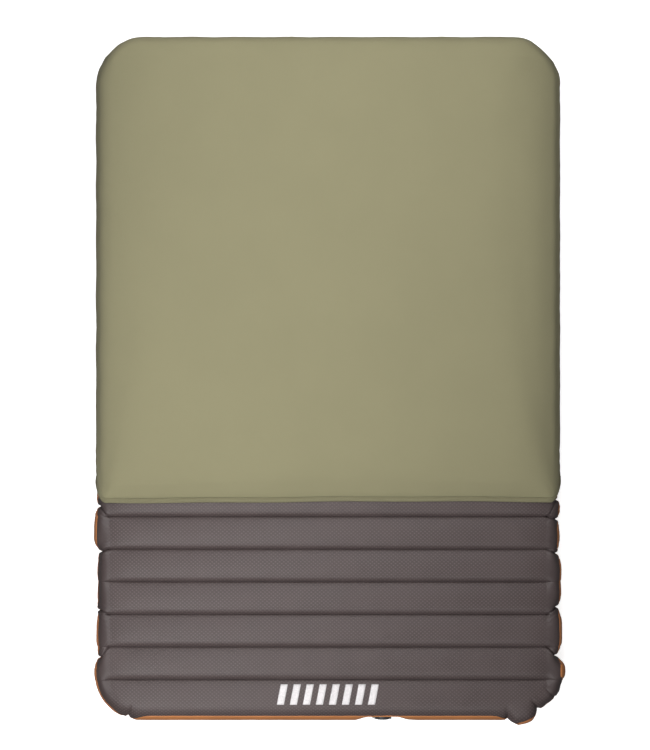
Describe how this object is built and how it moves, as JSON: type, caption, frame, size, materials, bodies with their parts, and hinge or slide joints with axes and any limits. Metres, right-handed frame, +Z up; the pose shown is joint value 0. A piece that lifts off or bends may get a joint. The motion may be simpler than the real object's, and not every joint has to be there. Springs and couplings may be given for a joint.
{
  "type": "inflatable sleeping pad",
  "caption": "Two-person camping air mattress with cross tubes, a foam topper in a strapped knit cover over the head end, and a hinged flat valve in the foot wall.",
  "frame": {"origin": "on the ground, under the middle of the pad", "axes": "+Y towards the head end, +X to the right seen from above with the head end up, +Z up"},
  "size_m": [1.3222, 1.9311, 0.14],
  "materials": {
    "rust_shell": "coated plain weave, satin",
    "grey_shell": "coated plain weave with a faint diamond dot lattice, satin",
    "baffle_fabric": "coated weave, matt",
    "olive_knit": "stretch knit, matt",
    "liner_fabric": "thin weave, matt",
    "elastic": "braided cord, matt",
    "webbing": "woven strap, matt",
    "foam": "open-cell foam, matt",
    "flange_film": "welded film, satin",
    "valve_plastic": "moulded, fine texture",
    "soft_rubber": "matt",
    "silicone": "smooth, translucent",
    "pin_steel": "polished"
  },
  "bodies": {
    "pad": {"base_sheet": "rust_shell", "top_sheet": "grey_shell", "baffle_01": "baffle_fabric", "baffle_02": "baffle_fabric", "baffle_03": "baffle_fabric", "baffle_04": "baffle_fabric", "baffle_05": "baffle_fabric", "baffle_06": "baffle_fabric", "baffle_07": "baffle_fabric", "baffle_08": "baffle_fabric", "baffle_09": "baffle_fabric", "baffle_10": "baffle_fabric", "baffle_11": "baffle_fabric", "baffle_12": "baffle_fabric", "baffle_13": "baffle_fabric", "baffle_14": "baffle_fabric", "baffle_15": "baffle_fabric", "baffle_16": "baffle_fabric", "baffle_17": "baffle_fabric", "baffle_18": "baffle_fabric", "baffle_19": "baffle_fabric", "foam_topper": "foam", "cover_liner": "liner_fabric", "knit_cover": "olive_knit", "cover_hem": "olive_knit", "cover_elastic": "elastic", "under_strap_foot": "webbing", "under_strap_head": "webbing", "valve_flange": "flange_film", "valve_body": "valve_plastic", "plug_hinge_pin": "pin_steel"},
    "plug": {"valve_plug": "valve_plastic", "plug_gasket": "soft_rubber", "lid_hinge_pin": "pin_steel"},
    "lid": {"valve_lid": "valve_plastic", "lid_gasket": "soft_rubber"},
    "membrane": {"valve_membrane": "silicone"}
  },
  "joints": [
    {"name": "plug_hinge", "type": "hinge", "parent": "pad", "child": "plug", "pos_m": [0.127, -0.9569, 0.051], "axis": [0, 0, -1], "range_deg": [0, 150]},
    {"name": "lid_hinge", "type": "hinge", "parent": "plug", "child": "lid", "pos_m": [0.1775, -0.9596, 0.051], "axis": [0, 0, 1], "range_deg": [0, 160]},
    {"name": "flap_lift", "type": "slide", "parent": "plug", "child": "membrane", "axis": [0, 1, 0], "range_m": [0, 0.0025], "stiffness_N_per_m": 20}
  ]
}
